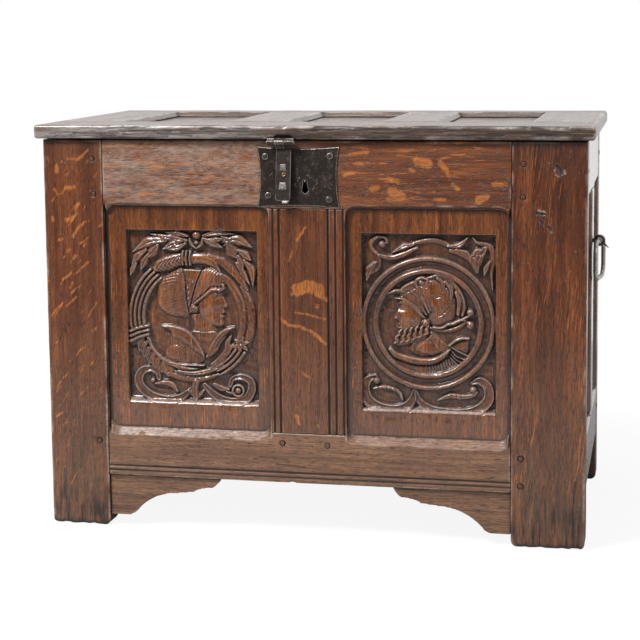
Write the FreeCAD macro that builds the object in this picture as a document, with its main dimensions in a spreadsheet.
import FreeCAD, Part
import math
import os
import re
import Sketcher

# A framed oak coffer: joined stiles, rails and muntins hold loose panels in grooves, the panelled lid
# turns on two iron strap hinges, and an iron lock takes the staple of a hasp that hangs from the lid.
#
# Frame: millimetres, +Z up, the front faces -Y, +X is to the right of someone who faces the front.
# The origin is on the floor, at the middle of the space that the whole coffer takes up.

doc = FreeCAD.newDocument("Coffer")
sheet = doc.addObject("Spreadsheet::Sheet", "Dims")

DIMENSIONS = {
    # carcass
    "half_wide": 480,
    "deep": 503,
    "stile_top": 702,
    "front_face": -247.3,
    "left_stile_wide": 109,
    "right_stile_wide": 127,
    "rear_stile_wide": 112,
    "stile_thick": 48,
    "foot_round": 12,
    "set_back": 1,
    "rail_thick": 34,
    "tenon_inset": 12,
    "tenon_thick": 10,
    "tenon_long": 26,
    "tenon_short": 24,
    "tenon_shoulder": 14,
    # front frame
    "front_top_low": 583,
    "front_bottom_low": 95,
    "front_bottom_top": 185,
    "muntin_left": -70,
    "muntin_right": 67,
    "moulding_deep": 3,
    "moulding_half": 2.5,
    "stile_bevel": 5,
    "top_bevel": 7,
    "bottom_bevel": 17,
    # panels
    "panel_recess": 11,
    "tongue_thick": 8,
    "panel_thick": 15,
    "groove_deep": 9,
    "field_margin": 6,
    # carved fields of the two front panels
    "carve_deep": 6.5,
    "carve_low": 227,
    "carve_top": 541,
    "left_carve_from": -333,
    "left_carve_to": -93,
    "right_carve_from": 93,
    "right_carve_to": 326,
    "roundel_up": 384.5,
    "left_roundel": -216,
    "right_roundel": 208.7,
    # side and rear frames
    "side_top_low": 600,
    "side_bottom_low": 97,
    "side_bottom_top": 190,
    "side_muntin_wide": 72,
    "side_bevel": 6,
    "rear_muntin_wide": 96,
    # front brackets under the bottom rail
    "bracket_long": 206,
    "bracket_low": 20,
    "bracket_back": 6,
    "bracket_thick": 22,
    # floor boards
    "floor_low": 112,
    "floor_thick": 16,
    "floor_housing": 9,
    # pegs
    "peg_radius": 4.5,
    "peg_long": 33,
    "peg_proud": 0.8,
    # lid
    "lid_gap": 1.2,
    "lid_thick": 25.5,
    "lid_front_over": 11,
    "lid_side_over": 13,
    "lid_rear_over": 14,
    "lid_front_rail": 116,
    "lid_rear_rail": 72,
    "lid_left_stile": 128,
    "lid_right_stile": 114,
    "lid_first_muntin": -168,
    "lid_first_muntin_end": -66,
    "lid_second_muntin": 112,
    "lid_second_muntin_end": 208,
    "lid_bevel": 11,
    "lid_recess": 10,
    "lid_panel_thick": 9,
    "lid_panel_housing": 7,
    "lid_tenon": 40,
    "lid_tenon_thick": 7,
    "lid_round": 6,
    # rear strap hinges
    "hinge_back": 7,
    "hinge_down": 6,
    "barrel_radius": 6,
    "hinge_pin_radius": 2.5,
    "running_gap": 0.06,
    "knuckle_gap": 0.5,
    "strap_thick": 3,
    "strap_half": 15,
    "barrel_half": 22,
    "knuckle_half": 8,
    "body_strap_long": 92,
    "lid_strap_long": 280,
    # lock plate
    "plate_left": -87.5,
    "plate_right": 58,
    "plate_low": 585,
    "plate_top": 691,
    "plate_thick": 2.2,
    "side_waist": 5.5,
    "end_waist": 4,
    "slot_half": 3.6,
    "slot_low": 619.5,
    "slot_top": 661,
    "key_across": -2.7,
    "key_eye_up": 631,
    "key_eye_radius": 3.5,
    "key_slot_low": 609.5,
    "key_slot_half": 5.75,
    # lock case and bolt, behind the plate
    "case_left": -62,
    "case_right": 46,
    "case_low": 600,
    "case_top": 676,
    "case_deep": 22,
    "case_wall": 2,
    "bolt_gap": 0.3,
    "bolt_thick": 2.5,
    "bolt_low": 630,
    "bolt_top": 642,
    "bolt_tip": -33.5,
    "bolt_tail": 26,
    # hasp
    "hasp_left": -52,
    "hasp_right": -25.3,
    "hasp_neck_left": -52.5,
    "hasp_neck_right": -37.5,
    "hasp_shoulder": 689.5,
    "hasp_low": 594,
    "hasp_thick": 3,
    "hasp_gap": 1,
    "hasp_pivot_out": 12.5,
    "hasp_pivot_up": 699,
    "hasp_rest_turn": 8,
    "eye_radius": 5,
    "hasp_pin_radius": 2.2,
    "hanger_left": -67,
    "hanger_right": -19,
    "ear_notch": 3,
    "hasp_notch": 8,
    "notch_back": 5,
    "hanger_long": 46,
    # hasp staple
    "staple_across": -39,
    "staple_half": 2,
    "staple_low": 623,
    "staple_top": 659,
    "staple_bar": 4,
    "staple_web": 2.4,
    # carrying handles
    "handle_out": 11.5,
    "handle_up": 505,
    "ring_half_wide": 44,
    "ring_drop": 68,
    "ring_corner": 20,
    "ring_rod": 4.2,
    "ring_turn": 8,
    "eye_gap": 0.6,
    "staple_rod": 3,
    "staple_shank": 24,
    "tail_long": 14,
}


def write_sheet():
    for row, (alias, number) in enumerate(DIMENSIONS.items(), start=1):
        sheet.set(f"A{row}", alias)
        sheet.set(f"B{row}", str(number))
        sheet.setAlias(f"B{row}", alias)
    doc.recompute()


def linked(text):
    """An expression in which each dimension's plain name points to its cell."""
    return re.sub(r"[a-z]\w{3,}", lambda word: "Dims." + word.group(0), str(text))


def value(text):
    return float(sheet.evalExpression(linked(text)))


def bind(thing, prop, text):
    thing.setExpression(prop, linked(text))


write_sheet()

# Faces and edges that several pieces share, as expressions of the sheet's dimensions.
REAR_FACE = "front_face + deep"
RAIL_FACE = "front_face + set_back"
RAIL_BACK = "front_face + set_back + rail_thick"
REAR_RAIL_FACE = "front_face + deep - set_back"
REAR_RAIL_FRONT = "front_face + deep - set_back - rail_thick"
STILE_BACK = "front_face + stile_thick"
REAR_STILE_FRONT = "front_face + deep - stile_thick"
LEFT_SHOULDER = "left_stile_wide - half_wide"
RIGHT_SHOULDER = "half_wide - right_stile_wide"
REAR_SHOULDER = "half_wide - rear_stile_wide"
SIDE_MIDDLE = "front_face + deep / 2"
PANEL_FACE = "front_face + panel_recess"
LID_LOW = "stile_top + lid_gap"
LID_TOP = "stile_top + lid_gap + lid_thick"
LID_PANEL_TOP = "stile_top + lid_gap + lid_thick - lid_recess"
LID_FRONT = "front_face - lid_front_over"
LID_REAR = "front_face + deep + lid_rear_over"
LID_LEFT = "-half_wide - lid_side_over"
LID_RIGHT = "half_wide + lid_side_over"
HINGE_Y = "front_face + deep + hinge_back"
HINGE_Z = "stile_top - hinge_down"
PLATE_FACE = "front_face + set_back - plate_thick"
HASP_BACK = "front_face + set_back - plate_thick - hasp_gap"
HASP_FRONT = "front_face + set_back - plate_thick - hasp_gap - hasp_thick"
HASP_Y = "front_face - hasp_pivot_out"
HANDLE_X = "half_wide - set_back + handle_out"

pieces = {}


def keep(node, thing):
    """Names a finished piece."""
    thing.Label = node
    pieces[node] = thing
    return thing


# ---------------------------------------------------------------- solids


def block(name, across, along, up):
    """A box between two expressions on each axis."""
    box = doc.addObject("Part::Box", name)
    sizes = ("Length", "Width", "Height")
    for prop, axis, (low, high) in zip(sizes, "xyz", (across, along, up)):
        bind(box, prop, f"({high}) - ({low})")
        bind(box, f"Placement.Base.{axis}", low)
    return box


TURNS = {
    "x": FreeCAD.Rotation(FreeCAD.Vector(0, 1, 0), 90),
    "y": FreeCAD.Rotation(FreeCAD.Vector(1, 0, 0), -90),
    "z": FreeCAD.Rotation(),
}


def rod(name, axis, centre, radius, length):
    """A cylinder that starts at a centre and runs the positive way along x, y or z."""
    solid = doc.addObject("Part::Cylinder", name)
    solid.Placement = FreeCAD.Placement(FreeCAD.Vector(), TURNS[axis])
    for letter, text in zip("xyz", centre):
        bind(solid, f"Placement.Base.{letter}", text)
    bind(solid, "Radius", radius)
    bind(solid, "Height", length)
    return solid


def taper(name, axis, near, far, first, second):
    """A rectangle at level near that grows or shrinks to another at level far, along x, y or z.

    Each rectangle is ((low, high), (low, high)) on the two other axes in x, y, z order.
    """
    wedge = doc.addObject("Part::Wedge", name)
    if axis == "y":
        (a_low, a_high), (b_low, b_high) = first
        (c_low, c_high), (d_low, d_high) = second
    elif axis == "z":
        wedge.Placement = FreeCAD.Placement(
            FreeCAD.Vector(), FreeCAD.Rotation(FreeCAD.Vector(1, 0, 0), 90)
        )
        (a_low, a_high), (b_high, b_low) = first[0], [f"-({text})" for text in first[1]]
        (c_low, c_high), (d_high, d_low) = second[0], [f"-({text})" for text in second[1]]
    else:
        wedge.Placement = FreeCAD.Placement(
            FreeCAD.Vector(), FreeCAD.Rotation(FreeCAD.Vector(0, 0, 1), -90)
        )
        (a_high, a_low), (b_low, b_high) = [f"-({text})" for text in first[0]], first[1]
        (c_high, c_low), (d_low, d_high) = [f"-({text})" for text in second[0]], second[1]
    for prop, text in {
        "Ymin": near, "Ymax": far,
        "Xmin": a_low, "Xmax": a_high, "Zmin": b_low, "Zmax": b_high,
        "X2min": c_low, "X2max": c_high, "Z2min": d_low, "Z2max": d_high,
    }.items():
        bind(wedge, prop, text)
    return wedge


def arc_between(start, end, radius, left):
    """The short arc from start to end that bulges to the left or the right of the way it goes."""
    chord = end - start
    middle = (start + end) * 0.5
    off = math.sqrt(max(radius ** 2 - (chord.Length / 2) ** 2, 0))
    side = FreeCAD.Vector(-chord.y, chord.x, 0).normalize()
    centre = middle - side * off if left else middle + side * off
    first, last = (end, start) if left else (start, end)
    from_angle = math.atan2(first.y - centre.y, first.x - centre.x)
    to_angle = math.atan2(last.y - centre.y, last.x - centre.x)
    circle = Part.Circle(centre, FreeCAD.Vector(0, 0, 1), radius)
    return Part.ArcOfCircle(circle, from_angle, to_angle)


def prism(name, plane, outline, low, high):
    """An outline on one of the origin planes, padded from one level to another.

    A corner is a pair of expressions. A corner with a third and fourth value is reached by an arc
    of that radius, which bulges to the left or the right of the way the outline runs.
    """
    body = doc.addObject("PartDesign::Body", name)
    sketch = body.newObject("Sketcher::SketchObject", name + "_outline")
    support = next(f for f in body.Origin.OriginFeatures if f.Role == plane)
    sketch.AttachmentSupport = [(support, "")]
    sketch.MapMode = "FlatFace"
    # the XZ plane looks along -Y, so its pad starts at the far level and comes back
    bind(sketch, "AttachmentOffset.Base.z", f"-({high})" if plane == "XZ_Plane" else low)
    spots = [FreeCAD.Vector(value(corner[0]), value(corner[1]), 0) for corner in outline]
    ends = []
    for index, corner in enumerate(outline):
        start, end = spots[index - 1], spots[index]
        if len(corner) == 4:
            left = corner[3] == "left"
            curve = arc_between(start, end, value(corner[2]), left)
            ends.append((2, 1) if left else (1, 2))
        else:
            curve = Part.LineSegment(start, end)
            ends.append((1, 2))
        sketch.addGeometry(curve, False)
    for index, corner in enumerate(outline):
        following = (index + 1) % len(outline)
        sketch.addConstraint(
            Sketcher.Constraint("Coincident", index, ends[index][1], following, ends[following][0])
        )
        for kind, text in (("DistanceX", corner[0]), ("DistanceY", corner[1])):
            number = sketch.addConstraint(Sketcher.Constraint(kind, index, ends[index][1], value(text)))
            sketch.setExpression(f"Constraints[{number}]", linked(text))
        if len(corner) == 4:
            number = sketch.addConstraint(Sketcher.Constraint("Radius", index, value(corner[2])))
            sketch.setExpression(f"Constraints[{number}]", linked(corner[2]))
    pad = body.newObject("PartDesign::Pad", name + "_pad")
    pad.Profile = sketch
    bind(pad, "Length", f"({high}) - ({low})")
    return body


def fuse(name, parts):
    joined = doc.addObject("Part::MultiFuse", name)
    joined.Shapes = parts
    return joined


def cut(name, base, tools):
    """The base less every tool."""
    for number, tool in enumerate(tools):
        step = doc.addObject("Part::Cut", f"{name}_cut{number}")
        step.Base = base
        step.Tool = tool
        base = step
    return base


def common(name, base, tool):
    shared = doc.addObject("Part::Common", name)
    shared.Base = base
    shared.Tool = tool
    return shared


def mirrored(name, source):
    """The same piece on the other side of the coffer's middle."""
    twin = doc.addObject("Part::Mirroring", name)
    twin.Source = source
    twin.Normal = FreeCAD.Vector(1, 0, 0)
    return twin


def rounded(name, base, radius, chosen):
    """Rounds the edges whose middle and direction pass the test."""
    doc.recompute()
    fillet = doc.addObject("Part::Fillet", name)
    fillet.Base = base
    size = value(radius)
    edges = []
    for number, edge in enumerate(base.Shape.Edges, start=1):
        middle = edge.CenterOfMass
        way = edge.tangentAt(edge.FirstParameter)
        if chosen(middle, way):
            edges.append((number, size, size))
    fillet.Edges = edges
    return fillet


def close_to(number, text):
    return abs(number - value(text)) < 0.1


def grow(span, outward):
    """A span that is longer at both ends."""
    low, high = span
    return (f"{low} - ({outward})", f"{high} + ({outward})")


# ---------------------------------------------------------------- pegs and nails


def peg(name, axis, face, spot, sign):
    """A round oak peg, driven in from a face and left a little proud. spot is on the other two axes."""
    start = f"{face} - peg_proud" if sign > 0 else f"{face} + peg_proud - peg_long"
    centre = {"y": (spot[0], start, spot[1]), "x": (start, spot[0], spot[1])}[axis]
    return rod(name, axis, centre, "peg_radius", "peg_long")


def nail(name, axis, face, spot, sign, head, dome_high, shank_long):
    """A forged nail: a low head that tapers up from a face, and a round shank behind it."""
    way = {"y": FreeCAD.Vector(0, 1, 0), "z": FreeCAD.Vector(0, 0, 1)}[axis] * sign
    if axis == "y":
        at = FreeCAD.Vector(value(spot[0]), value(face), value(spot[1]))
    else:
        at = FreeCAD.Vector(value(spot[0]), value(spot[1]), value(face))
    dome = doc.addObject("Part::Cone", name + "_dome")
    dome.Radius1 = head
    dome.Radius2 = head * 0.45
    dome.Height = dome_high
    dome.Placement = FreeCAD.Placement(at, FreeCAD.Rotation(FreeCAD.Vector(0, 0, 1), way * -1))
    shank = doc.addObject("Part::Cylinder", name + "_shank")
    shank.Radius = head * 0.32
    shank.Height = shank_long
    shank.Placement = FreeCAD.Placement(at, FreeCAD.Rotation(FreeCAD.Vector(0, 0, 1), way))
    return fuse(name, [dome, shank])


# ---------------------------------------------------------------- panels


def panel(name, axis, face, back_way, first, second):
    """A loose panel: thin edges that sit in the grooves and a thicker field behind them.

    face is the level of its front face; first and second are its sight size on the other axes.
    """
    def slab(tag, thick, spans):
        low, high = (face, f"{face} + {thick}") if back_way > 0 else (f"{face} - {thick}", face)
        if axis == "y":
            return block(f"{name}_{tag}", spans[0], (low, high), spans[1])
        return block(f"{name}_{tag}", (low, high), spans[0], spans[1])

    edges = slab("edges", "tongue_thick", (grow(first, "groove_deep"), grow(second, "groove_deep")))
    field = slab("field", "panel_thick", (grow(first, "-field_margin"), grow(second, "-field_margin")))
    return fuse(name, [edges, field])


# The four sight openings of the front and rear frames and of each side frame, at the panels' faces.
FRONT_UP = ("front_bottom_top", "front_top_low")
LEFT_SIGHT = (f"{LEFT_SHOULDER} + stile_bevel", "muntin_left")
RIGHT_SIGHT = ("muntin_right", f"{RIGHT_SHOULDER} - stile_bevel")
SIDE_UP = ("side_bottom_top", "side_top_low")
SIDE_FRONT_SIGHT = (STILE_BACK, f"{SIDE_MIDDLE} - side_muntin_wide / 2")
SIDE_REAR_SIGHT = (f"{SIDE_MIDDLE} + side_muntin_wide / 2", REAR_STILE_FRONT)
REAR_LEFT_SIGHT = (f"-({REAR_SHOULDER})", "-rear_muntin_wide / 2")
REAR_RIGHT_SIGHT = ("rear_muntin_wide / 2", REAR_SHOULDER)


# Low relief of the carved fields. Each lens is a half-sunk oval: how far across and up from the
# roundel's centre, its half length, half width and depth, and how far it is turned, in degrees.
LEFT_BUST = [
    (-2, 44, 38, 33, 5.5, 0),       # cap over the head
    (22, 14, 26, 20, 5.5, 80),      # cheek and jaw
    (4, -22, 24, 15, 4.5, 75),      # neck
    (-14, -52, 40, 22, 5.0, -25),   # shoulder
    (26, -58, 34, 16, 4.5, 35),     # breast
    (-8, -26, 34, 8, 5.5, -32),     # collar wing, near
    (44, -38, 30, 8, 5.5, 42),      # collar wing, far
]
LEFT_SPRAY = [
    (-30, 140, 26, 8, 5.0, 20), (-66, 130, 28, 8, 5.0, 24), (-92, 108, 24, 8, 4.5, 40),
    (-104, 84, 16, 7, 4.0, 60), (-52, 148, 18, 6, 4.5, 5), (34, 142, 26, 8, 5.0, -18),
    (68, 134, 26, 8, 5.0, -14), (92, 112, 24, 8, 4.5, -42), (104, 78, 26, 7, 4.5, -72),
    (58, 118, 24, 7, 4.5, -35), (6, 146, 9, 9, 6.0, 0),
]
RIGHT_BUST = [
    (2, 40, 44, 34, 5.5, 20),       # helmet
    (-28, 10, 28, 19, 5.0, 80),     # cheek, beard and jaw
    (8, -18, 30, 17, 4.5, 60),      # neck
    (52, 42, 44, 12, 5.5, -60),     # plume
    (-8, -60, 60, 9, 5.5, 8),       # collar roll
    (12, -72, 56, 13, 4.0, 10),     # pleated hem
    (62, -38, 22, 8, 4.5, 30),      # mantle
]
RIGHT_SPRAY = [
    (-80, 136, 13, 13, 5.0, 0), (-96, 96, 26, 7, 4.5, 75), (-46, 132, 34, 6, 4.5, 22),
    (2, 142, 34, 7, 5.0, 0), (52, 136, 28, 7, 4.5, -28), (90, 128, 26, 11, 5.0, -70),
    (102, 92, 26, 7, 4.5, -85), (82, 104, 18, 9, 4.0, -50),
]
# The scrolls under each roundel: centre across and up, mean radius, from and to, in degrees.
LEFT_SCROLLS = [(-88, -126, 24, -250, 70), (76, -122, 24, -160, 160), (-40, -118, 40, 215, 300)]
RIGHT_SCROLLS = [(-92, -128, 22, -240, 60), (84, -124, 24, -150, 150), (-30, -116, 40, 215, 300)]


def lens(name, middle, oval, lift):
    """Half an oval that stands on the sunk ground."""
    across, up, half_long, half_wide, deep, turned = oval
    solid = doc.addObject("Part::Ellipsoid", name)
    solid.Radius1 = deep
    solid.Radius2 = half_long
    solid.Radius3 = half_wide
    # the oval's short axis starts on Z: it is laid down to face the front, then turned on the face
    lay = FreeCAD.Rotation(FreeCAD.Vector(1, 0, 0), 90)
    spin = FreeCAD.Rotation(FreeCAD.Vector(0, 1, 0), -turned)
    spot = FreeCAD.Vector(value(middle) + across, value(lift), value("roundel_up") + up)
    solid.Placement = FreeCAD.Placement(spot, spin.multiply(lay))
    return solid


def bead(name, centre, radius, thick, lift, start=0, end=360):
    """A round moulding, or part of one, that lies on the sunk ground."""
    ring = doc.addObject("Part::Torus", name)
    ring.Radius1 = radius
    ring.Radius2 = thick
    ring.Angle3 = end - start
    lay = FreeCAD.Rotation(FreeCAD.Vector(1, 0, 0), 90)
    spin = FreeCAD.Rotation(FreeCAD.Vector(0, 1, 0), -start)
    spot = FreeCAD.Vector(centre[0], value(lift), centre[1])
    ring.Placement = FreeCAD.Placement(spot, spin.multiply(lay))
    return ring


def carved_panel(node, sight, middle, field, rings, ovals, scrolls):
    """A front panel with a sunk field, and the roundel, bust, spray and scrolls left standing in it."""
    ground = f"{PANEL_FACE} + carve_deep"
    board = panel(node + "_board", "y", PANEL_FACE, 1, sight, FRONT_UP)
    sunk = block(node + "_sunk", field, (f"{PANEL_FACE} - 1", ground), ("carve_low", "carve_top"))
    room = block(node + "_room", grow(field, "-1"), (PANEL_FACE, f"{ground} + 0.5"),
                 ("carve_low + 1", "carve_top - 1"))
    centre = (value(middle), value("roundel_up"))
    relief = [bead(f"{node}_ring{i}", centre, radius, thick, ground)
              for i, (radius, thick) in enumerate(rings)]
    relief += [lens(f"{node}_lens{i}", middle, oval, ground) for i, oval in enumerate(ovals)]
    for i, (across, up, radius, start, end) in enumerate(scrolls):
        spot = (centre[0] + across, centre[1] + up)
        relief.append(bead(f"{node}_scroll{i}", spot, radius, 5, ground, start, end))
    standing = common(node + "_relief", fuse(node + "_ovals", relief), room)
    return keep(node, fuse(node, [cut(node, board, [sunk]), standing]))


# ---------------------------------------------------------------- front frame


def rail(name, axis, run, thick, up, tenon):
    """A rail with a bare-faced stub tenon at each end. tenon is the tenon's span through the thickness."""
    tenon_up = (f"{up[0]} + tenon_shoulder", f"{up[1]} - tenon_shoulder")
    if axis == "x":
        board = block(name + "_board", run, thick, up)
        core = block(name + "_tenons", grow(run, "tenon_long"), tenon, tenon_up)
    else:
        board = block(name + "_board", thick, run, up)
        core = block(name + "_tenons", tenon, grow(run, "tenon_short"), tenon_up)
    return fuse(name, [board, core])


def stile(name, across, along, foot_edges):
    """An upright whose foot has worn, rounded edges."""
    board = block(name + "_board", across, along, ("0", "stile_top"))

    def worn(middle, way):
        low = abs(middle.z) < 0.1 and abs(way.y) > 0.9
        return low and any(close_to(middle.x, edge) for edge in foot_edges)

    return rounded(name + "_worn", board, "foot_round", worn)


def bevelled(name, sight, up, widths):
    """The bevel round a front opening: left, right, bottom and top widths at the frame's face."""
    left, right, bottom, top = widths
    outer = ((f"{sight[0]} - ({left})", f"{sight[1]} + ({right})"),
             (f"{up[0]} - ({bottom})", f"{up[1]} + ({top})"))
    return taper(name, "y", "front_face", PANEL_FACE, outer, (sight, up))


MOULDINGS = ("muntin_left + 8", "muntin_left + 19", "muntin_right - 31", "muntin_right - 18",
             "muntin_right - 4.5")


def muntin_profile():
    """The section of the front muntin: a flat board with scratched V mouldings along both edges."""
    outline = [("muntin_right", RAIL_BACK), ("muntin_left", RAIL_BACK), ("muntin_left", RAIL_FACE)]
    for middle in MOULDINGS:
        outline.append((f"{middle} - moulding_half", RAIL_FACE))
        outline.append((middle, f"{RAIL_FACE} + moulding_deep"))
        outline.append((f"{middle} + moulding_half", RAIL_FACE))
    outline.append(("muntin_right", RAIL_FACE))
    return outline


def bracket_outline(shoulder, way):
    """A bracket's front: straight along the stile and the rail, with an ogee between its ends."""
    def at(out, up):
        return (f"{shoulder} + ({way}) * ({out})", up)

    inner, outer = ("left", "right") if way > 0 else ("right", "left")
    outline = [
        at("0", "front_bottom_low"),
        at("0", "bracket_low"),
        at("bracket_long * 0.17", "bracket_low"),
        at("bracket_long * 0.22", "bracket_low + 5"),
        (*at("bracket_long * 0.58", "bracket_low + 44"), "bracket_long * 0.5", inner),
        at("bracket_long * 0.76", "bracket_low + 48"),
        at("bracket_long * 0.78", "bracket_low + 51"),
        (*at("bracket_long * 0.93", "bracket_low + 57"), "bracket_long * 0.4", inner),
        (*at("bracket_long", "front_bottom_low"), "bracket_long * 0.16", outer),
    ]
    return outline


FRONT_TENON = (f"{RAIL_FACE} + tenon_inset", f"{RAIL_FACE} + tenon_inset + tenon_thick")
REAR_TENON = (f"{REAR_RAIL_FACE} - tenon_inset - tenon_thick", f"{REAR_RAIL_FACE} - tenon_inset")
FRONT_RUN = (LEFT_SHOULDER, RIGHT_SHOULDER)
REAR_RUN = (f"-({REAR_SHOULDER})", REAR_SHOULDER)
SIDE_RUN = (STILE_BACK, REAR_STILE_FRONT)

# Pegs through the front: across and up.
FRONT_STILE_PEGS = [("-half_wide + 90", "668"), ("-half_wide + 92", "605"), ("-half_wide + 92", "158"),
                    ("half_wide - 107", "663"), ("half_wide - 108", "607"), ("half_wide - 110", "157"),
                    ("half_wide - 110", "108")]
FRONT_MUNTIN_PEGS = [("muntin_left + 21", "166"), ("muntin_right - 35", "165")]
# These two end flush, because the lock plate lies over them.
HIDDEN_PEGS = [("muntin_left + 18", "594.5"), ("muntin_right - 20", "594.5")]
REAR_PEG_UPS = ("662", "620", "158", "125")


def make_pegs():
    """The oak pegs that lock the tenons, through the front, the back and the sides."""
    front = [peg(f"front_peg{i}", "y", "front_face", spot, 1) for i, spot in enumerate(FRONT_STILE_PEGS)]
    front += [peg(f"muntin_peg{i}", "y", RAIL_FACE, spot, 1) for i, spot in enumerate(FRONT_MUNTIN_PEGS)]
    front += [peg(f"hidden_peg{i}", "y", f"{RAIL_FACE} + peg_proud", spot, 1)
              for i, spot in enumerate(HIDDEN_PEGS)]
    rear = []
    for side in ("-1", "1"):
        for up in REAR_PEG_UPS:
            spot = (f"{side} * (half_wide - rear_stile_wide + 14)", up)
            rear.append(peg(f"rear_peg{len(rear)}", "y", REAR_FACE, spot, -1))
    flank = []
    for face, sign in (("half_wide", -1), ("-half_wide", 1)):
        for along in (f"{STILE_BACK} - 12", f"{REAR_STILE_FRONT} + 12"):
            for up in ("650", "150"):
                flank.append(peg(f"side_peg{len(flank)}", "x", face, (along, up), sign))
    return keep("frame_pegs", fuse("frame_pegs", front + rear + flank))


# ---------------------------------------------------------------- carcass


def make_front_lock_room():
    """The hole in the top rail that the lock case fills."""
    return block("lock_room", ("case_left", "case_right"), (f"{RAIL_FACE} - 1", f"{RAIL_FACE} + case_deep"),
                 ("case_low", "case_top"))


def make_front_frame(pegs, nails):
    left_panel = carved_panel("front_left_panel", LEFT_SIGHT, "left_roundel",
                              ("left_carve_from", "left_carve_to"),
                              [(104, 8), (92, 3)], LEFT_BUST + LEFT_SPRAY, LEFT_SCROLLS)
    right_panel = carved_panel("front_right_panel", RIGHT_SIGHT, "right_roundel",
                               ("right_carve_from", "right_carve_to"),
                               [(112, 4.5), (91, 4.5)], RIGHT_BUST + RIGHT_SPRAY, RIGHT_SCROLLS)
    widths = ("stile_bevel", "0", "bottom_bevel", "top_bevel")
    left_bevel = bevelled("left_bevel", LEFT_SIGHT, FRONT_UP, widths)
    widths = ("0", "stile_bevel", "bottom_bevel", "top_bevel")
    right_bevel = bevelled("right_bevel", RIGHT_SIGHT, FRONT_UP, widths)
    bevels = [left_bevel, right_bevel]
    panels = [left_panel, right_panel]

    thick = (RAIL_FACE, RAIL_BACK)
    top = rail("front_top", "x", FRONT_RUN, thick, ("front_top_low", "stile_top"), FRONT_TENON)
    bottom = rail("front_bottom", "x", FRONT_RUN, thick, ("front_bottom_low", "front_bottom_top"),
                  FRONT_TENON)
    shaft = prism("front_muntin_shaft", "XY_Plane", muntin_profile(), "front_bottom_top", "front_top_low")
    core = block("front_muntin_tenons", ("muntin_left + 10", "muntin_right - 10"), FRONT_TENON,
                 ("front_bottom_top - tenon_long", "front_top_low + tenon_long"))
    muntin = cut("front_muntin", fuse("front_muntin_whole", [shaft, core]),
                 panels + [pegs, make_front_lock_room(), nails])

    lips = {
        "left": block("left_lip", (LEFT_SHOULDER, f"{LEFT_SHOULDER} + stile_bevel"),
                      ("front_face", STILE_BACK), FRONT_UP),
        "right": block("right_lip", (f"{RIGHT_SHOULDER} - stile_bevel", RIGHT_SHOULDER),
                       ("front_face", STILE_BACK), FRONT_UP),
    }
    left = stile("front_left", ("-half_wide", LEFT_SHOULDER), ("front_face", STILE_BACK), [LEFT_SHOULDER])
    right = stile("front_right", (RIGHT_SHOULDER, "half_wide"), ("front_face", STILE_BACK),
                  [RIGHT_SHOULDER, "half_wide"])
    keep("front_muntin", muntin)
    top = keep("front_top_rail",
               cut("front_top_rail", top, panels + [muntin, pegs, make_front_lock_room(), nails] + bevels))
    bottom = keep("front_bottom_rail", cut("front_bottom_rail", bottom, panels + [muntin, pegs] + bevels))
    wholes = {
        "left": (fuse("front_left_whole", [left, lips["left"]]), left_panel, left_bevel),
        "right": (fuse("front_right_whole", [right, lips["right"]]), right_panel, right_bevel),
    }
    for tag, shoulder, way in (("left", LEFT_SHOULDER, 1), ("right", RIGHT_SHOULDER, -1)):
        keep(f"front_{tag}_bracket", prism(f"front_{tag}_bracket", "XZ_Plane", bracket_outline(shoulder, way),
                                           "front_face + bracket_back",
                                           "front_face + bracket_back + bracket_thick"))
    return wholes, top, bottom


def make_sides(pegs):
    """Both side frames, without their stiles: two rails, a muntin and two plain panels on each side."""
    sides = {}
    for tag, sign in (("left", "-1"), ("right", "1")):
        way = int(sign)
        panel_face = f"({sign}) * (half_wide - panel_recess)"

        def through(near_depth, far_depth):
            ends = [f"({sign}) * (half_wide - set_back - ({depth}))" for depth in (near_depth, far_depth)]
            return tuple(ends if way < 0 else reversed(ends))

        thick = through("0", "rail_thick")
        tenon = through("tenon_inset", "tenon_inset + tenon_thick")
        first = panel(f"{tag}_front_panel", "x", panel_face, -way, SIDE_FRONT_SIGHT, SIDE_UP)
        second = panel(f"{tag}_rear_panel", "x", panel_face, -way, SIDE_REAR_SIGHT, SIDE_UP)
        panels = [keep(f"{tag}_side_front_panel", first), keep(f"{tag}_side_rear_panel", second)]
        bevels = []
        for sight in (SIDE_FRONT_SIGHT, SIDE_REAR_SIGHT):
            small = (sight, SIDE_UP)
            large = (grow(sight, "side_bevel"), grow(SIDE_UP, "side_bevel"))
            outer_level = f"({sign}) * half_wide"
            name = f"{tag}_bevel{len(bevels)}"
            if way > 0:
                bevels.append(taper(name, "x", panel_face, outer_level, small, large))
            else:
                bevels.append(taper(name, "x", outer_level, panel_face, large, small))
        board = block(f"{tag}_muntin_board", thick,
                      (SIDE_FRONT_SIGHT[1], SIDE_REAR_SIGHT[0]), SIDE_UP)
        core = block(f"{tag}_muntin_tenons", tenon,
                     (f"{SIDE_FRONT_SIGHT[1]} + 10", f"{SIDE_REAR_SIGHT[0]} - 10"),
                     ("side_bottom_top - tenon_long", "side_top_low + tenon_long"))
        muntin = cut(f"{tag}_side_muntin", fuse(f"{tag}_muntin_whole", [board, core]), panels + bevels)
        top = rail(f"{tag}_top", "y", SIDE_RUN, thick, ("side_top_low", "stile_top"), tenon)
        bottom = rail(f"{tag}_bottom", "y", SIDE_RUN, thick, ("side_bottom_low", "side_bottom_top"), tenon)
        tools = panels + [muntin, pegs] + bevels
        sides[tag] = {
            "top": keep(f"{tag}_side_top_rail", cut(f"{tag}_side_top_rail", top, tools)),
            "bottom": keep(f"{tag}_side_bottom_rail", cut(f"{tag}_side_bottom_rail", bottom, tools)),
            "muntin": muntin,
            "panels": panels,
            "bevels": bevels,
        }
    return sides


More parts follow.
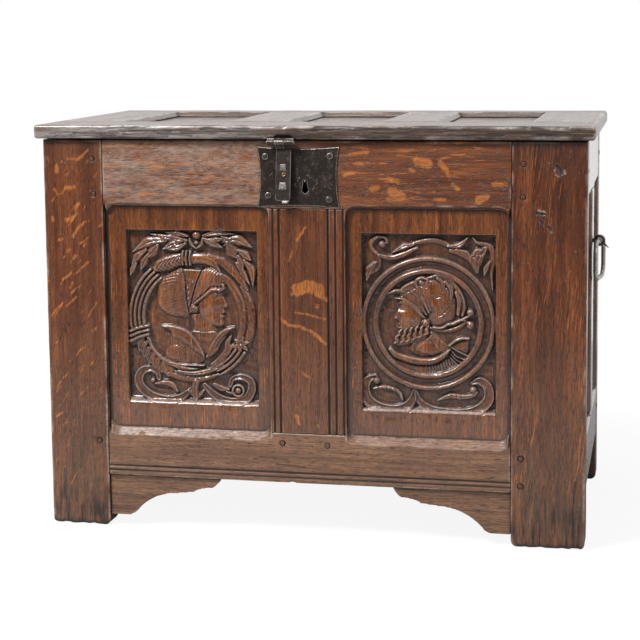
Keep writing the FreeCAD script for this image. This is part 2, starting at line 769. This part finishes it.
def make_rear_frame(pegs, nails):
    panels = []
    for tag, sight in (("left", REAR_LEFT_SIGHT), ("right", REAR_RIGHT_SIGHT)):
        board = panel(f"rear_{tag}_panel", "y", f"{REAR_FACE} - panel_recess", -1, sight, SIDE_UP)
        panels.append(keep(f"rear_{tag}_panel", board))
    thick = (REAR_RAIL_FRONT, REAR_RAIL_FACE)
    board = block("rear_muntin_board", (REAR_LEFT_SIGHT[1], REAR_RIGHT_SIGHT[0]), thick, SIDE_UP)
    core = block("rear_muntin_tenons", (f"{REAR_LEFT_SIGHT[1]} + 10", f"{REAR_RIGHT_SIGHT[0]} - 10"),
                 REAR_TENON, ("side_bottom_top - tenon_long", "side_top_low + tenon_long"))
    muntin = keep("rear_muntin", cut("rear_muntin", fuse("rear_muntin_whole", [board, core]), panels))
    top = rail("rear_top", "x", REAR_RUN, thick, ("side_top_low", "stile_top"), REAR_TENON)
    bottom = rail("rear_bottom", "x", REAR_RUN, thick, ("side_bottom_low", "side_bottom_top"), REAR_TENON)
    top = keep("rear_top_rail", cut("rear_top_rail", top, panels + [muntin, pegs, nails]))
    bottom = keep("rear_bottom_rail", cut("rear_bottom_rail", bottom, panels + [muntin, pegs]))
    return panels, top, bottom


def make_floor(front_bottom, rear_bottom, sides):
    """Three boards along the coffer, housed in the bottom rails and notched round the stiles."""
    up = ("floor_low", "floor_low + floor_thick")
    half = "half_wide - set_back - rail_thick + floor_housing"
    front_edge = f"{RAIL_BACK} - floor_housing"
    rear_edge = f"{REAR_RAIL_FRONT} + floor_housing"
    corners = []
    for tag, across in (
        ("a", ("-half_wide", LEFT_SHOULDER)), ("b", (RIGHT_SHOULDER, "half_wide")),
    ):
        corners.append(block(f"floor_notch_{tag}", across, ("front_face", STILE_BACK), up))
    for tag, across in (
        ("c", ("-half_wide", f"-({REAR_SHOULDER})")), ("d", (REAR_SHOULDER, "half_wide")),
    ):
        corners.append(block(f"floor_notch_{tag}", across, (REAR_STILE_FRONT, REAR_FACE), up))
    boards = []
    marks = [front_edge, f"{front_edge} + (({rear_edge}) - ({front_edge})) / 3",
             f"{front_edge} + (({rear_edge}) - ({front_edge})) * 2 / 3", rear_edge]
    for number, tag in enumerate(("front", "middle", "rear")):
        board = block(f"{tag}_floor", (f"-({half})", half), (marks[number], marks[number + 1]), up)
        boards.append(keep(f"{tag}_floor_board", cut(f"{tag}_floor_board", board, corners)))
    keep("front_bottom_rail", cut("front_bottom_housed", front_bottom, [boards[0]]))
    keep("rear_bottom_rail", cut("rear_bottom_housed", rear_bottom, [boards[2]]))
    for tag in ("left", "right"):
        housed = cut(f"{tag}_bottom_housed", sides[tag]["bottom"], boards)
        sides[tag]["bottom"] = keep(f"{tag}_side_bottom_rail", housed)


def make_stiles(wholes, front_rails, rear_rails, rear_panels, sides, pegs):
    """The four uprights, mortised for the rails' tenons and grooved for the panels."""
    for tag in ("left", "right"):
        whole, front_panel, front_bevel = wholes[tag]
        side = sides[tag]
        tools = [front_rails[0], front_rails[1], front_panel, front_bevel, side["top"], side["bottom"],
                 side["panels"][0], side["bevels"][0], pegs]
        keep(f"front_{tag}_stile", cut(f"front_{tag}_stile", whole, tools))
    for tag, across, edge in (("left", ("-half_wide", f"-({REAR_SHOULDER})"), "-half_wide"),
                              ("right", (REAR_SHOULDER, "half_wide"), "half_wide")):
        side = sides[tag]
        whole = stile(f"rear_{tag}", across, (REAR_STILE_FRONT, REAR_FACE), [edge])
        rear_panel = rear_panels[0] if tag == "left" else rear_panels[1]
        tools = [rear_rails[0], rear_rails[1], rear_panel, side["top"], side["bottom"],
                 side["panels"][1], side["bevels"][1], pegs]
        keep(f"rear_{tag}_stile", cut(f"rear_{tag}_stile", whole, tools))


# ---------------------------------------------------------------- lid

LID_UP = (LID_LOW, LID_TOP)
LID_SIGHT_Y = (f"{LID_FRONT} + lid_front_rail + lid_bevel", f"{LID_REAR} - lid_rear_rail - lid_bevel")
LID_SIGHTS = [
    (f"{LID_LEFT} + lid_left_stile + lid_bevel", "lid_first_muntin - lid_bevel"),
    ("lid_first_muntin_end + lid_bevel", "lid_second_muntin - lid_bevel"),
    ("lid_second_muntin_end + lid_bevel", f"{LID_RIGHT} - lid_right_stile - lid_bevel"),
]
LID_TENON_UP = (f"{LID_LOW} + 6", f"{LID_LOW} + 6 + lid_tenon_thick")


def lid_upright(name, across, worn_side):
    """A lid stile or muntin between the front and rear rails, with a tenon at each end."""
    run = (LID_SIGHT_Y[0], LID_SIGHT_Y[1])
    board = block(name + "_board", across, run, LID_UP)
    core = block(name + "_tenons", grow(across, "-12"), grow(run, "lid_tenon"), LID_TENON_UP)
    if worn_side:
        def worn(middle, way):
            return abs(way.y) > 0.9 and close_to(middle.x, worn_side)

        board = rounded(name + "_worn", board, "lid_round", worn)
    return fuse(name, [board, core])


def lid_rail(name, along, worn_edge):
    """A lid rail that runs the whole width, its outer edges worn round."""
    board = block(name + "_board", (LID_LEFT, LID_RIGHT), along, LID_UP)

    def worn(middle, way):
        long_edge = abs(way.x) > 0.9 and close_to(middle.y, worn_edge)
        end_edge = abs(way.y) > 0.9
        return long_edge or end_edge

    return rounded(name + "_worn", board, "lid_round", worn)


def make_lid(hardware):
    """The lid: two long rails, two end stiles and two muntins round three sunk panels."""
    panels = []
    bevels = []
    for number, sight in enumerate(LID_SIGHTS):
        tag = ("left", "middle", "right")[number]
        board = block(f"lid_{tag}_panel", grow(sight, "lid_panel_housing"),
                      grow(LID_SIGHT_Y, "lid_panel_housing"),
                      (f"{LID_PANEL_TOP} - lid_panel_thick", LID_PANEL_TOP))
        panels.append(keep(f"lid_{tag}_panel", board))
        small = (sight, LID_SIGHT_Y)
        large = (grow(sight, "lid_bevel"), grow(LID_SIGHT_Y, "lid_bevel"))
        bevels.append(taper(f"lid_bevel{number}", "z", LID_PANEL_TOP, LID_TOP, small, large))
    uprights = {
        "lid_left_stile": ((LID_LEFT, LID_SIGHTS[0][0]), LID_LEFT),
        "lid_left_muntin": ((LID_SIGHTS[0][1], LID_SIGHTS[1][0]), None),
        "lid_right_muntin": ((LID_SIGHTS[1][1], LID_SIGHTS[2][0]), None),
        "lid_right_stile": ((LID_SIGHTS[2][1], LID_RIGHT), LID_RIGHT),
    }
    made = []
    for node, (across, worn_side) in uprights.items():
        whole = lid_upright(node + "_whole", across, worn_side)
        made.append(keep(node, cut(node, whole, panels + bevels + hardware)))
    notch_depth = (f"{LID_FRONT} - 1", f"{LID_FRONT} + notch_back")
    over_ears = block("notch_over_ears", ("hanger_left - 2", "hanger_right + 2"), notch_depth,
                      (f"{LID_LOW} - 1", f"{LID_LOW} + ear_notch"))
    over_hasp = block("notch_over_hasp", ("hasp_neck_left - 1.5", "hasp_right + 1"), notch_depth,
                     (f"{LID_LOW} - 1", f"{LID_LOW} + hasp_notch"))
    front = lid_rail("lid_front", (LID_FRONT, LID_SIGHT_Y[0]), LID_FRONT)
    rear = lid_rail("lid_rear", (LID_SIGHT_Y[1], LID_REAR), LID_REAR)
    cutters = panels + made + bevels + hardware
    keep("lid_front_rail", cut("lid_front_rail", front, cutters + [over_ears, over_hasp]))
    keep("lid_rear_rail", cut("lid_rear_rail", rear, cutters))


# ---------------------------------------------------------------- rear hinges

HINGE_MIDDLES = {
    "left": "(lid_first_muntin + lid_first_muntin_end) / 2",
    "right": "(lid_second_muntin + lid_second_muntin_end) / 2",
}


def make_hinge(tag, middle):
    """One strap hinge: a strap on the back of the coffer, a strap let in under the lid, and its pin."""
    barrel_long = "barrel_half * 2"
    start = f"{middle} - barrel_half"
    pin = rod(f"{tag}_pin", "x", (f"{start} - 1.5", HINGE_Y, HINGE_Z), "hinge_pin_radius",
              "barrel_half * 2 + 3")
    bore = rod(f"{tag}_bore", "x", (f"{start} - 5", HINGE_Y, HINGE_Z), "hinge_pin_radius + running_gap",
               "barrel_half * 2 + 10")
    across = (f"{middle} - strap_half", f"{middle} + strap_half")
    centre_gap = block(f"{tag}_centre_gap", (f"{middle} - knuckle_half", f"{middle} + knuckle_half"),
                       (f"{REAR_FACE} - 1", f"{REAR_FACE} + 30"), (f"{HINGE_Z} - 8", f"{HINGE_Z} + 12"))

    barrel = rod(f"{tag}_barrel", "x", (start, HINGE_Y, HINGE_Z), "barrel_radius", barrel_long)
    plate = block(f"{tag}_plate", across, (REAR_FACE, f"{REAR_FACE} + strap_thick"),
                  (f"{HINGE_Z} - body_strap_long", HINGE_Z))
    shoulders = block(f"{tag}_shoulders", (f"{middle} - barrel_half", f"{middle} + barrel_half"),
                      (REAR_FACE, f"{REAR_FACE} + strap_thick"), (f"{HINGE_Z} - 16", HINGE_Z))
    body_strap = cut(f"{tag}_hinge_body_strap", fuse(f"{tag}_body_strap", [barrel, plate, shoulders]),
                     [centre_gap, pin])

    eye = rod(f"{tag}_eye", "x", (f"{middle} - knuckle_half + knuckle_gap", HINGE_Y, HINGE_Z),
              "barrel_radius", "(knuckle_half - knuckle_gap) * 2")
    tip = f"{HINGE_Y} + barrel_radius"
    web = block(f"{tag}_web",
                (f"{middle} - knuckle_half + knuckle_gap", f"{middle} + knuckle_half - knuckle_gap"),
                (f"{HINGE_Y} + 3", tip), (HINGE_Z, f"{LID_LOW} + strap_thick"))
    leaf = block(f"{tag}_leaf", across, (f"{tip} - lid_strap_long", tip),
                 (LID_LOW, f"{LID_LOW} + strap_thick"))
    lid_strap = cut(f"{tag}_hinge_lid_strap", fuse(f"{tag}_lid_strap", [eye, web, leaf]), [bore])
    return body_strap, lid_strap, pin


def make_hinges():
    """Both hinges with their nails; returns what the lid and the rear rail make room for."""
    body_nails = []
    lid_nails = []
    straps = {}
    for tag, middle in HINGE_MIDDLES.items():
        straps[tag] = make_hinge(tag, middle)
        for number, down in enumerate((27, 53, 80)):
            spot = (middle, f"{HINGE_Z} - {down}")
            body_nails.append(nail(f"{tag}_body_nail{number}", "y", f"{REAR_FACE} + strap_thick", spot, -1,
                                   5, 2, 24))
        for number, ahead in enumerate((55, 115, 185, 255)):
            spot = (middle, f"{HINGE_Y} - {ahead}")
            lid_nails.append(nail(f"{tag}_lid_nail{number}", "z", LID_LOW, spot, 1, 4.5, 0.8, 12))
    for number, across in enumerate(("hanger_left + 10", "hanger_right - 10")):
        spot = (across, "front_face + 16")
        lid_nails.append(nail(f"hanger_nail{number}", "z", LID_LOW, spot, 1, 4.5, 0.8, 12))
    body_group = keep("hinge_nails", fuse("hinge_nails", body_nails))
    lid_group = keep("lid_nails", fuse("lid_nails", lid_nails))
    keep("hinge_pins", fuse("hinge_pins", [pin for _, _, pin in straps.values()]))
    lid_straps = []
    for tag, (body_strap, lid_strap, _) in straps.items():
        keep(f"{tag}_hinge_body_strap", cut(f"{tag}_body_strap_nailed", body_strap, [body_group]))
        nailed = cut(f"{tag}_lid_strap_nailed", lid_strap, [lid_group])
        lid_straps.append(keep(f"{tag}_hinge_lid_strap", nailed))
    return body_group, lid_straps + [lid_group]


# ---------------------------------------------------------------- lock

PLATE_NAILS = [("-half_wide + 407.5", "674"), ("-half_wide + 412", "606.5"),
               ("half_wide - 438.4", "675.5"), ("half_wide - 440.6", "600")]


def waist(name, axis, middle, edge, way, long, dip):
    """A shallow cylinder that hollows one edge of the lock plate to a waist."""
    radius = f"((({long}) / 2) ^ 2 + ({dip}) ^ 2) / (2 * ({dip}))"
    centre = f"{edge} + ({way}) * ({radius} - ({dip}))"
    spot = (centre, middle) if axis == "side" else (middle, centre)
    return rod(name, "y", (spot[0], f"{PLATE_FACE} - 5", spot[1]), radius, "plate_thick + 10")


def make_lock():
    """The lock: waisted plate, nails, case, key pin and the bolt that slides behind the plate."""
    middle_x = "(plate_left + plate_right) / 2"
    middle_z = "(plate_low + plate_top) / 2"
    wide = "plate_right - plate_left"
    high = "plate_top - plate_low"
    sheet_iron = block("plate_blank", ("plate_left", "plate_right"), (PLATE_FACE, RAIL_FACE),
                       ("plate_low", "plate_top"))
    waists = [
        waist("left_waist", "side", middle_z, "plate_left", "-1", high, "side_waist"),
        waist("right_waist", "side", middle_z, "plate_right", "1", high, "side_waist"),
        waist("top_waist", "end", middle_x, "plate_top", "1", wide, "end_waist"),
        waist("low_waist", "end", middle_x, "plate_low", "-1", wide, "end_waist"),
    ]
    slot = block("plate_slot", ("staple_across - slot_half", "staple_across + slot_half"),
                 (f"{PLATE_FACE} - 5", f"{RAIL_FACE} + 5"), ("slot_low", "slot_top"))
    key_eye = rod("key_eye", "y", ("key_across", f"{PLATE_FACE} - 5", "key_eye_up"), "key_eye_radius",
                  "plate_thick + 10")
    key_slot = prism("key_slot", "XZ_Plane", [
        ("key_across - key_eye_radius * 0.8", "key_eye_up - 2"),
        ("key_across - key_slot_half", "key_slot_low + 5"),
        ("key_across", "key_slot_low"),
        ("key_across + key_slot_half", "key_slot_low + 5"),
        ("key_across + key_eye_radius * 0.8", "key_eye_up - 2"),
    ], f"{PLATE_FACE} - 5", f"{RAIL_FACE} + 5")
    nails = fuse("lock_plate_nails", [nail(f"plate_nail{i}", "y", PLATE_FACE, spot, 1, 6.5, 2.7, 22)
                                      for i, spot in enumerate(PLATE_NAILS)])
    keep("lock_plate_nails", nails)
    keep("lock_plate", cut("lock_plate", sheet_iron, waists + [slot, key_eye, key_slot, nails]))

    inside = ("case_left + case_wall", "case_right - case_wall")
    box = block("case_box", ("case_left", "case_right"), (RAIL_FACE, f"{RAIL_FACE} + case_deep"),
                ("case_low", "case_top"))
    hollow = block("case_hollow", inside, (f"{RAIL_FACE} - 1", f"{RAIL_FACE} + case_deep - case_wall"),
                   ("case_low + case_wall", "case_top - case_wall"))
    bolt_back = f"{RAIL_FACE} + bolt_gap + bolt_thick"
    guides = []
    for number, across in enumerate(("-24", "16")):
        guide = block(f"bolt_guide{number}", (across, f"{across} + 5"),
                      (f"{RAIL_FACE} + bolt_gap", f"{RAIL_FACE} + case_deep - case_wall"),
                      ("bolt_low - 4", "bolt_top + 4"))
        way = block(f"bolt_way{number}", (f"{across} - 1", f"{across} + 6"),
                    (f"{RAIL_FACE} - 1", f"{bolt_back} + bolt_gap"),
                    ("bolt_low - bolt_gap", "bolt_top + bolt_gap"))
        guides.append(cut(f"bolt_guided{number}", guide, [way]))
    case = fuse("case_whole", [cut("case_open", box, [hollow])] + guides)
    pin = rod("key_pin", "y", ("key_across", f"{PLATE_FACE} + 0.6", "key_eye_up"), "1.3", "case_deep + 1")
    keep("key_pin", pin)
    keep("lock_case", cut("lock_case", case, [pin, nails]))

    bar = block("bolt_bar", ("bolt_tip", "bolt_tail"), (f"{RAIL_FACE} + bolt_gap", bolt_back),
                ("bolt_low", "bolt_top"))
    talon = block("bolt_talon", ("key_across + 4", "key_across + 13"),
                  (f"{RAIL_FACE} - 1", f"{bolt_back} + 1"), ("bolt_low - 1", "bolt_low + 6"))
    pin_way = block("bolt_pin_way", ("key_across - 3", "key_across + 17"),
                    (f"{RAIL_FACE} - 1", f"{bolt_back} + 1"), ("bolt_low - 1", "key_eye_up + 2"))
    keep("lock_bolt", cut("lock_bolt", bar, [talon, pin_way]))
    return nails


# ---------------------------------------------------------------- hasp


def swung(thing):
    """Hangs a piece of the hasp, drawn as it lies when locked, the way it hangs when it is free."""
    centre = FreeCAD.Vector(0, value(HASP_Y), value("hasp_pivot_up"))
    turn = FreeCAD.Rotation(FreeCAD.Vector(1, 0, 0), -value("hasp_rest_turn"))
    thing.Placement = FreeCAD.Placement(FreeCAD.Vector(), turn, centre)
    return thing


def make_hasp(lid_nails):
    """The hasp with its eye, the staple riveted to its back, the pin, and the hanger on the lid."""
    tongue = prism("hasp_tongue", "XZ_Plane", [
        ("hasp_neck_left", "hasp_shoulder + 2"),
        ("hasp_left", "hasp_shoulder - 1"),
        ("hasp_left", "hasp_low + 8"),
        ("hasp_left + 4", "hasp_low + 5"),
        ("hasp_right - 14", "hasp_low + 5"),
        ("hasp_right - 14", "hasp_low"),
        ("hasp_right - 4", "hasp_low"),
        ("hasp_right", "hasp_low + 9"),
        ("hasp_right", "hasp_shoulder - 2"),
        ("hasp_right - 4", "hasp_shoulder"),
        ("hasp_neck_right", "hasp_shoulder + 2"),
    ], HASP_FRONT, HASP_BACK)
    neck = prism("hasp_neck", "YZ_Plane", [
        (HASP_BACK, "hasp_shoulder - 3"),
        (HASP_BACK, "hasp_shoulder + 1.5"),
        (f"{HASP_Y} + 4.4", "hasp_pivot_up - 1.5"),
        (f"{HASP_Y} + 0.5", "hasp_pivot_up - 4.4"),
        (HASP_FRONT, "hasp_shoulder - 1"),
    ], "hasp_neck_left", "hasp_neck_right")
    lip = block("hasp_lip", ("hasp_right - 14", "hasp_right - 4"), (f"{HASP_FRONT} - 2.5", HASP_FRONT),
                ("hasp_low", "hasp_low + 3.5"))
    eye = rod("hasp_eye", "x", ("hasp_neck_left", HASP_Y, "hasp_pivot_up"), "eye_radius",
              "hasp_neck_right - hasp_neck_left")
    bore = rod("hasp_bore", "x", ("hasp_neck_left - 5", HASP_Y, "hasp_pivot_up"),
               "hasp_pin_radius + running_gap", "hasp_neck_right - hasp_neck_left + 10")
    loop = hasp_staple_loop()
    rivets = [rod(f"staple_rivet{i}", "y", ("staple_across", f"{HASP_FRONT} - 0.6", up), "staple_bar / 2",
                  "hasp_thick + 0.6")
              for i, up in enumerate(("staple_top - staple_bar / 2", "staple_low + staple_bar / 2"))]
    staple = swung(fuse("hasp_staple", [loop] + rivets))
    rivet_at = "staple_across + 1.5"
    rivet_up = "(staple_low + staple_top) / 2 + 3"
    head = rod("hasp_rivet_head", "y", (rivet_at, f"{HASP_FRONT} - 1", rivet_up), "3.8", "1")
    stem = rod("hasp_rivet_stem", "y", (rivet_at, f"{HASP_FRONT} - 0.5", rivet_up), "2.5", "hasp_thick + 0.9")
    rivet = swung(fuse("hasp_brass_rivet", [head, stem]))
    strap = swung(cut("hasp_strap", fuse("hasp_whole", [tongue, neck, lip, eye]), [bore] + rivets + [stem]))
    keep("hasp", strap)
    keep("hasp_staple", staple)
    keep("hasp_rivet", rivet)

    pin = rod("hasp_pin", "x", ("hanger_left - 1", HASP_Y, "hasp_pivot_up"), "hasp_pin_radius",
              "hanger_right - hanger_left + 2")
    keep("hasp_pin", pin)
    ears = []
    for number, (low, high) in enumerate((("hanger_left", "hasp_neck_left - knuckle_gap"),
                                          ("hasp_neck_right + knuckle_gap", "hanger_right"))):
        ears.append(rod(f"hanger_eye{number}", "x", (low, HASP_Y, "hasp_pivot_up"), "eye_radius",
                        f"({high}) - ({low})"))
        ears.append(block(f"hanger_web{number}", (low, high), (f"{HASP_Y} + 1", f"{HASP_Y} + eye_radius"),
                          ("hasp_pivot_up", f"{LID_LOW} + strap_thick")))
    leaf = block("hanger_leaf", ("hanger_left", "hanger_right"), (f"{HASP_Y} + eye_radius - 1",
                 f"{HASP_Y} + hanger_long"), (LID_LOW, f"{LID_LOW} + strap_thick"))
    return keep("hasp_hanger", cut("hasp_hanger", fuse("hanger_whole", [leaf] + ears), [pin, lid_nails]))


def hasp_staple_loop():
    """The staple: a flat loop whose back edge slants, so that it clears the plate as the hasp swings."""
    turn = math.radians(value("hasp_rest_turn"))
    clear = 0.4
    reach = value(PLATE_FACE) - clear - value(HASP_Y)

    def back_edge(up, less):
        """How far back the loop may reach at a height, less its own thickness."""
        arm = value("hasp_pivot_up") - up
        return value(HASP_Y) + (reach + arm * math.sin(turn)) / math.cos(turn) - less

    low, top = value("staple_low"), value("staple_top")
    bar, web = value("staple_bar"), value("staple_web")
    outer = prism("staple_outer", "YZ_Plane", [
        (HASP_BACK, "staple_low"), (back_edge(low, 0), "staple_low"),
        (back_edge(top, 0), "staple_top"), (HASP_BACK, "staple_top"),
    ], "staple_across - staple_half", "staple_across + staple_half")
    inner = prism("staple_inner", "YZ_Plane", [
        (f"{HASP_BACK} - 1", "staple_low + staple_bar"),
        (back_edge(low + bar, web), "staple_low + staple_bar"),
        (back_edge(top - bar, web), "staple_top - staple_bar"),
        (f"{HASP_BACK} - 1", "staple_top - staple_bar"),
    ], "staple_across - staple_half - 1", "staple_across + staple_half + 1")
    return cut("staple_loop", outer, [inner])


# ---------------------------------------------------------------- carrying handles


def ring_solid(name):
    """A rounded-rectangle ring of round iron, hanging in the YZ plane from the middle of its top bar."""
    half = value("ring_half_wide - ring_rod")
    drop = value("ring_drop")
    corner = value("ring_corner")
    thick = value("ring_rod")
    parts = []
    for number, (side, up) in enumerate(((1, 0), (1, 1), (-1, 1), (-1, 0))):
        quarter = doc.addObject("Part::Torus", f"{name}_corner{number}")
        quarter.Radius1 = corner
        quarter.Radius2 = thick
        quarter.Angle3 = 90
        spot = FreeCAD.Vector(0, side * (half - corner), -corner if up == 0 else corner - drop)
        start = {(1, 0): 0, (-1, 0): 90, (-1, 1): 180, (1, 1): 270}[(side, up)]
        stand = FreeCAD.Rotation(FreeCAD.Vector(0, 1, 0), FreeCAD.Vector(0, 0, 1), FreeCAD.Vector(1, 0, 0))
        spin = FreeCAD.Rotation(FreeCAD.Vector(0, 0, 1), start)
        quarter.Placement = FreeCAD.Placement(spot, stand.multiply(spin))
        parts.append(quarter)
    for number, (across, up) in enumerate(((True, 0), (True, -drop))):
        bar = doc.addObject("Part::Cylinder", f"{name}_bar{number}")
        bar.Radius = thick
        bar.Height = 2 * (half - corner)
        bar.Placement = FreeCAD.Placement(FreeCAD.Vector(0, corner - half, up), TURNS["y"])
        parts.append(bar)
    for number, side in enumerate((-1, 1)):
        arm = doc.addObject("Part::Cylinder", f"{name}_arm{number}")
        arm.Radius = thick
        arm.Height = drop - 2 * corner
        arm.Placement.Base = FreeCAD.Vector(0, side * half, corner - drop)
        parts.append(arm)
    return fuse(name, parts)


def make_handles(sides):
    """A ring on each side, in the eye of a forged staple driven through the side muntin."""
    middle = value(SIDE_MIDDLE)
    at = FreeCAD.Vector(value(HANDLE_X), middle, value("handle_up"))
    turned = FreeCAD.Rotation(FreeCAD.Vector(0, 0, 1), -value("ring_turn"))
    ring = ring_solid("right_ring_blank")
    ring.Placement = FreeCAD.Placement(at, turned)

    eye = doc.addObject("Part::Torus", "staple_eye")
    bind(eye, "Radius1", "ring_rod + eye_gap + staple_rod")
    bind(eye, "Radius2", "staple_rod")
    eye.Placement = FreeCAD.Placement(at, TURNS["y"])
    shank = doc.addObject("Part::Cylinder", "staple_shank_rod")
    bind(shank, "Radius", "staple_rod + 0.6")
    bind(shank, "Height", "staple_shank")
    reach = value("ring_rod + eye_gap + staple_rod")
    inner_end = at - FreeCAD.Vector(reach - 1.5 + value("staple_shank"), 0, 0)
    shank.Placement = FreeCAD.Placement(inner_end, TURNS["x"])
    tail = doc.addObject("Part::Cone", "staple_tail")
    tail.Radius1 = value("staple_rod") * 0.9
    tail.Radius2 = 0.8
    bind(tail, "Height", "tail_long")
    start = at + FreeCAD.Vector(reach * 0.85, 0, -reach * 0.55)
    tail_way = FreeCAD.Vector(0.72, 0, -0.7)
    tail.Placement = FreeCAD.Placement(start, FreeCAD.Rotation(FreeCAD.Vector(0, 0, 1), tail_way))
    staple = fuse("right_staple_blank", [eye, shank, tail])
    for tag, ring_piece, staple_piece in (
        ("right", ring, staple),
        ("left", mirrored("left_ring_blank", ring), mirrored("left_staple_blank", staple)),
    ):
        keep(f"{tag}_handle_ring", ring_piece)
        keep(f"{tag}_handle_staple", staple_piece)
        keep(f"{tag}_side_muntin", cut(f"{tag}_muntin_bored", sides[tag]["muntin"], [staple_piece]))


# ---------------------------------------------------------------- the whole coffer


def make_coffer():
    pegs = make_pegs()
    lock_nails = make_lock()
    body_nails, lid_hardware = make_hinges()
    hanger = make_hasp(lid_hardware[-1])
    wholes, top_rail, bottom_rail = make_front_frame(pegs, lock_nails)
    sides = make_sides(pegs)
    rear_panels, rear_top, rear_bottom = make_rear_frame(pegs, body_nails)
    make_stiles(wholes, (top_rail, bottom_rail), (rear_top, rear_bottom), rear_panels, sides, pegs)
    make_floor(bottom_rail, rear_bottom, sides)
    make_lid(lid_hardware + [hanger])
    make_handles(sides)


def check_and_export():
    doc.recompute()
    for thing in doc.Objects:
        if {"Invalid", "Error"} & set(thing.State):
            raise RuntimeError(f"{thing.Name} failed: {thing.State}")
    for node, thing in pieces.items():
        shape = thing.Shape
        if shape.isNull() or not shape.isValid() or not shape.Solids:
            raise RuntimeError(f"{node} has no sound solid")
    os.makedirs("parts", exist_ok=True)
    for node, thing in pieces.items():
        thing.Shape.exportStep(f"parts/{node}.step")
        box = thing.Shape.BoundBox
        print(f"{node:26s} {len(thing.Shape.Solids):3d} solids  {thing.Shape.Volume / 1000:9.1f} cm3  "
              f"x {box.XMin:8.1f} {box.XMax:8.1f}  y {box.YMin:8.1f} {box.YMax:8.1f}  "
              f"z {box.ZMin:7.1f} {box.ZMax:7.1f}")


make_coffer()
check_and_export()
